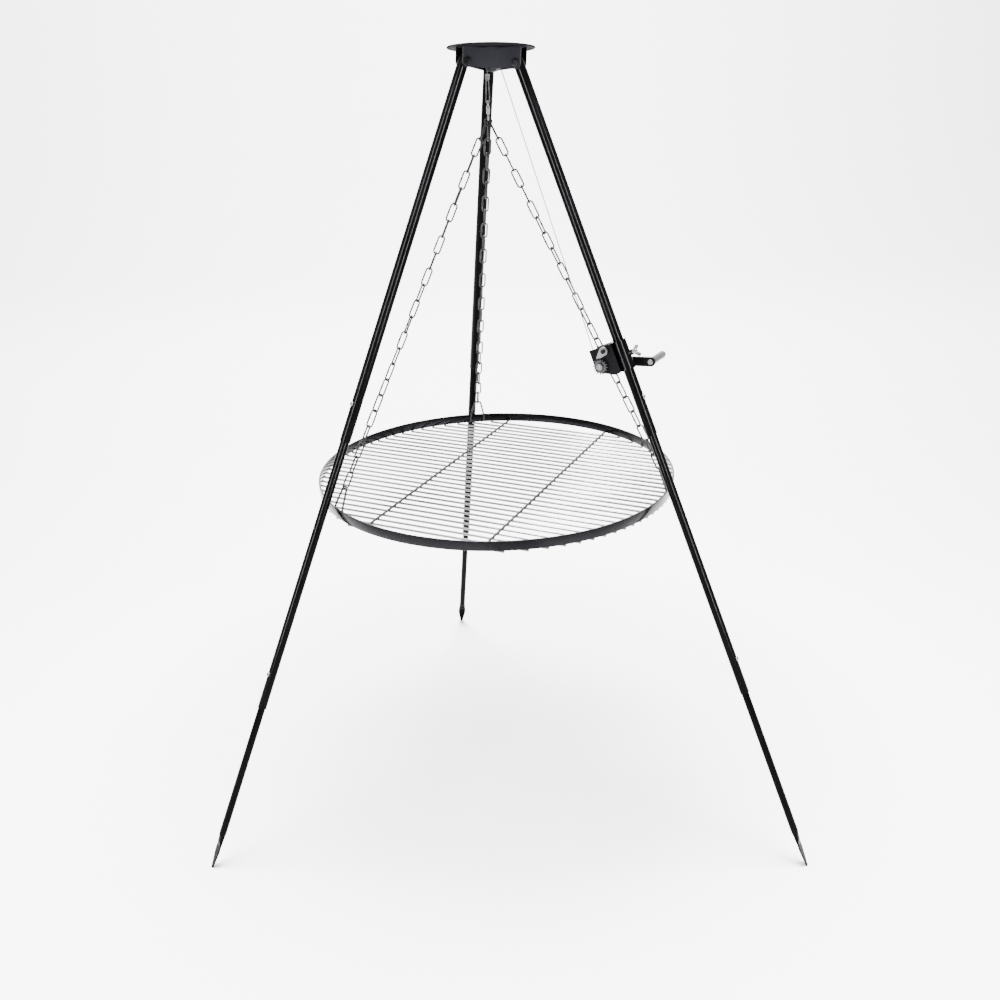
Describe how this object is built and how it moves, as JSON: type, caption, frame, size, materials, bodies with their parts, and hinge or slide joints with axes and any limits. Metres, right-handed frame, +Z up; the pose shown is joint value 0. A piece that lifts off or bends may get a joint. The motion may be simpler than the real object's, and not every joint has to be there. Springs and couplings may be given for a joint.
{
  "type": "campfire tripod grate",
  "caption": "Folding steel tripod whose winch hoists a round hanging cooking grate on a wire rope and three chains.",
  "frame": {"origin": "on the ground, under the middle of the whole object", "axes": "+Z up; the winch leg stands towards +X and -Y, the second front leg towards -X and -Y, the third leg towards +Y"},
  "size_m": [1.3306, 1.1882, 1.698],
  "materials": {
    "black_paint": "satin black",
    "zinc": "bright zinc",
    "dark_fixings": "black oxide",
    "grip_plastic": "satin grey",
    "rim_steel": "dark polished",
    "grate_steel": "polished"
  },
  "bodies": {
    "head": {"top_disc": "black_paint", "head_bracket_front": "black_paint", "head_bracket_right": "black_paint", "head_bracket_left": "black_paint", "pulley_bracket": "black_paint", "pulley_axle": "zinc", "pulley_rope": "zinc", "fold_bolt_left": "dark_fixings", "fold_nut_left": "dark_fixings", "fold_bolt_right": "dark_fixings", "fold_nut_right": "dark_fixings", "fold_bolt_back": "dark_fixings", "fold_nut_back": "dark_fixings"},
    "leg_left": {"upper_tube_left": "black_paint", "middle_tube_left": "black_paint", "lower_tube_left": "black_paint", "upper_screw_left": "zinc", "lower_screw_left": "zinc"},
    "leg_right": {"upper_tube_right": "black_paint", "middle_tube_right": "black_paint", "lower_tube_right": "black_paint", "upper_screw_right": "zinc", "lower_screw_right": "zinc", "winch_sleeve": "black_paint", "winch_frame": "black_paint", "pawl_bolt": "dark_fixings", "hoist_rope": "zinc"},
    "leg_back": {"upper_tube_back": "black_paint", "middle_tube_back": "black_paint", "lower_tube_back": "black_paint", "upper_screw_back": "zinc", "lower_screw_back": "zinc"},
    "wing_screw": {"wing_screw": "zinc"},
    "drum": {"winch_drum": "zinc", "rope_coil": "zinc", "winch_axle": "zinc", "axle_nut": "zinc", "ratchet_wheel": "zinc", "crank_spacer": "black_paint", "crank_arm": "black_paint", "grip_bolt": "zinc"},
    "crank_grip": {"crank_grip": "grip_plastic"},
    "pawl": {"pawl": "zinc"},
    "pulley": {"pulley_wheel": "zinc"},
    "rope_end": {"load_rope": "zinc", "rope_ferrule": "zinc", "rope_eye": "zinc"},
    "hook": {"swivel_hook": "zinc"},
    "grate": {"gather_ring": "zinc", "grate_rim": "rim_steel", "grate_rods": "grate_steel", "top_link_left": "zinc", "chain_left": "zinc", "hanger_left": "zinc", "top_link_right": "zinc", "chain_right": "zinc", "hanger_right": "zinc", "top_link_back": "zinc", "chain_back": "zinc", "hanger_back": "zinc"}
  },
  "joints": [
    {"name": "fold_left", "type": "hinge", "parent": "head", "child": "leg_left", "pos_m": [-0.03487, -0.19673, 1.66668], "axis": [-0.4991, 0.866, 0.0316], "range_deg": [0, 10.3]},
    {"name": "fold_right", "type": "hinge", "parent": "head", "child": "leg_right", "pos_m": [0.07112, -0.19672, 1.66035], "axis": [-0.4992, -0.8661, 0.0281], "range_deg": [0, 3.84]},
    {"name": "fold_back", "type": "hinge", "parent": "head", "child": "leg_back", "pos_m": [0.01813, -0.10477, 1.6637], "axis": [0.9982, 0.0001, -0.0597], "range_deg": [0, 7.44]},
    {"name": "grate_lift", "type": "slide", "parent": "head", "child": "rope_end", "axis": [0, 0, 1], "range_m": [-0.55, 0], "deforming": ["load_rope"]},
    {"name": "hook_swivel", "type": "hinge", "parent": "rope_end", "child": "hook", "pos_m": [0.01121, -0.16218, 1.58558], "axis": [0, 0, 1], "range_deg": [0, 40]},
    {"name": "grate_turn", "type": "hinge", "parent": "hook", "child": "grate", "pos_m": [0.01121, -0.16218, 1.55458], "axis": [0, 0, 1], "range_deg": [0, 20]},
    {"name": "pulley_spin", "type": "hinge", "parent": "head", "child": "pulley", "pos_m": [0.0223, -0.16857, 1.66082], "axis": [0.4992, 0.8661, -0.0281], "range_deg": [0, 2600]},
    {"name": "drum_spin", "type": "hinge", "parent": "leg_right", "child": "drum", "pos_m": [0.23388, -0.30928, 1.08247], "axis": [0.4992, 0.8661, -0.0281], "range_deg": [0, 2100]},
    {"name": "grip_spin", "type": "hinge", "parent": "drum", "child": "crank_grip", "pos_m": [0.34638, -0.28797, 1.08638], "axis": [0.4992, 0.8661, -0.0281], "continuous": true},
    {"name": "pawl_release", "type": "hinge", "parent": "leg_right", "child": "pawl", "pos_m": [0.22744, -0.33162, 1.11563], "axis": [0.4992, 0.8661, -0.0281], "range_deg": [0, 35]},
    {"name": "wing_screw_turn", "type": "hinge", "parent": "leg_right", "child": "wing_screw", "pos_m": [0.28076, -0.33535, 1.11169], "axis": [0.8022, -0.4496, 0.3928], "range_deg": [0, 720]}
  ],
  "couplings": [
    {"joint": "pulley_spin", "follows": "grate_lift", "rad_per_m": -78.125},
    {"joint": "drum_spin", "follows": "grate_lift", "rad_per_m": -63.291}
  ]
}
